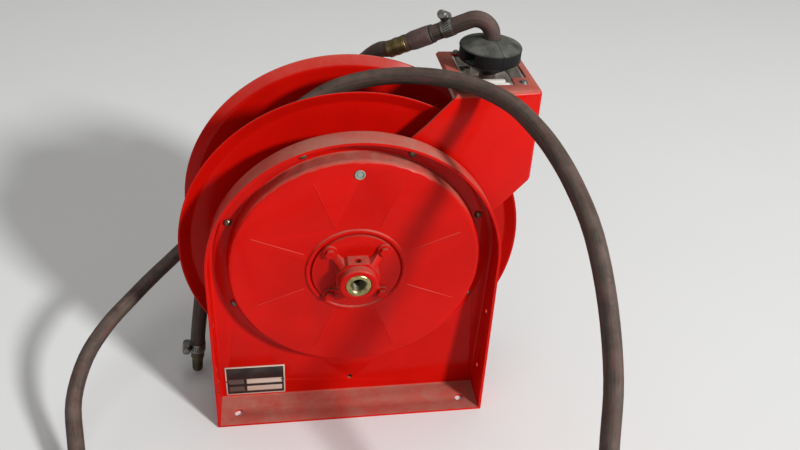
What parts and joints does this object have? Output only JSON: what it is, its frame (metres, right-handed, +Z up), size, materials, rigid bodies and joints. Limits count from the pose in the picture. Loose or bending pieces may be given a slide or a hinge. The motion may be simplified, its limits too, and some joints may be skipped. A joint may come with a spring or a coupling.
{
  "type": "hose reel",
  "caption": "Spring-rewind hose reel on a bent sheet frame, with a roller guide arm, hose stop and free hose.",
  "frame": {"origin": "centre of the four mounting holes, on the ground and straight under the reel axis", "axes": "+Z up, +Y from the inlet and the spring case to the rear, along the reel axis, +X to the side where the hose leaves"},
  "size_m": [0.5284, 0.6526, 0.4619],
  "materials": {
    "red_paint": "glossy red enamel, dusty",
    "red_casting": "red enamel on rough cast iron",
    "zinc_steel": "dull zinc plating",
    "yellow_zinc": "yellow zinc plating",
    "bronze": "machined",
    "black_steel": "dark oxide",
    "brown_steel": "rusty brown plating",
    "spring_steel": "blued",
    "black_rubber": "matt, dusty",
    "hose_rubber": "matt, dusty",
    "cream_nylon": "satin",
    "grey_plastic": "matt",
    "black_plate": "black printed plate, bare"
  },
  "bodies": {
    "frame": {"frame_plate": "red_paint", "rear_foot": "red_paint", "case_cover": "red_paint", "case_screws": "black_steel", "case_nuts": "zinc_steel", "cover_plug": "grey_plastic", "maker_plate": "black_plate", "plate_rivets": "zinc_steel", "power_spring": "spring_steel", "spring_anchor_pin": "zinc_steel", "plate_bearing": "bronze", "hub_casting": "red_casting", "hub_bolts": "red_casting", "hub_backing_ring": "zinc_steel", "set_screw": "black_steel", "main_shaft": "yellow_zinc", "thrust_washer": "zinc_steel", "shaft_nut": "zinc_steel", "guide_arm": "red_paint", "roller_bracket": "cream_nylon", "bracket_screws": "zinc_steel", "roller_pins": "zinc_steel", "bumper_left": "black_rubber", "bumper_right": "black_rubber", "bumper_bolts": "zinc_steel", "pawl_pin": "zinc_steel", "pawl_spacer": "zinc_steel", "pawl_spring": "spring_steel", "pawl_clip": "zinc_steel", "reel_hose": "hose_rubber", "tail_clamp": "zinc_steel", "tail_clamp_screw": "zinc_steel", "hose_coupling": "black_steel", "crimp_ferrule": "brown_steel", "free_hose": "hose_rubber", "end_clamp": "zinc_steel", "end_clamp_screw": "zinc_steel", "end_nipple": "yellow_zinc"},
    "spool": {"arbor": "zinc_steel", "front_bushing": "bronze", "rear_bushing": "bronze", "shaft_seals": "black_rubber", "front_disc": "red_paint", "rear_disc": "red_paint", "drum_core": "red_paint", "front_disc_bolts": "zinc_steel", "rear_disc_bolts": "zinc_steel", "disc_nuts": "zinc_steel", "ratchet_ring": "black_steel", "outlet_elbow": "bronze", "inner_hose": "hose_rubber", "wound_hose": "hose_rubber"},
    "roller_left": {"left_roller": "cream_nylon"},
    "roller_right": {"right_roller": "cream_nylon"},
    "roller_front": {"front_roller": "cream_nylon"},
    "roller_rear": {"rear_roller": "cream_nylon"},
    "pawl": {"latch_pawl": "black_steel"}
  },
  "joints": [
    {"name": "spool_spin", "type": "hinge", "parent": "frame", "child": "spool", "pos_m": [0, 0, 0.211], "axis": [0, -1, 0], "range_deg": [0, 5130], "stiffness_Nm_per_rad": 0.03, "springref_deg": -1718.87},
    {"name": "left_roller_spin", "type": "hinge", "parent": "frame", "child": "roller_left", "pos_m": [0.1235, 0.0485, 0.38], "axis": [0, 1, 0], "continuous": true},
    {"name": "right_roller_spin", "type": "hinge", "parent": "frame", "child": "roller_right", "pos_m": [0.1695, 0.0485, 0.38], "axis": [0, 1, 0], "continuous": true},
    {"name": "front_roller_spin", "type": "hinge", "parent": "frame", "child": "roller_front", "pos_m": [0.1465, 0.0232, 0.3915], "axis": [1, 0, 0], "continuous": true},
    {"name": "rear_roller_spin", "type": "hinge", "parent": "frame", "child": "roller_rear", "pos_m": [0.1465, 0.0738, 0.3915], "axis": [1, 0, 0], "continuous": true},
    {"name": "latch_swing", "type": "hinge", "parent": "frame", "child": "pawl", "pos_m": [0, -0.0045, 0.126], "axis": [0, -1, 0], "range_deg": [0, 27], "stiffness_Nm_per_rad": 0.02}
  ]
}
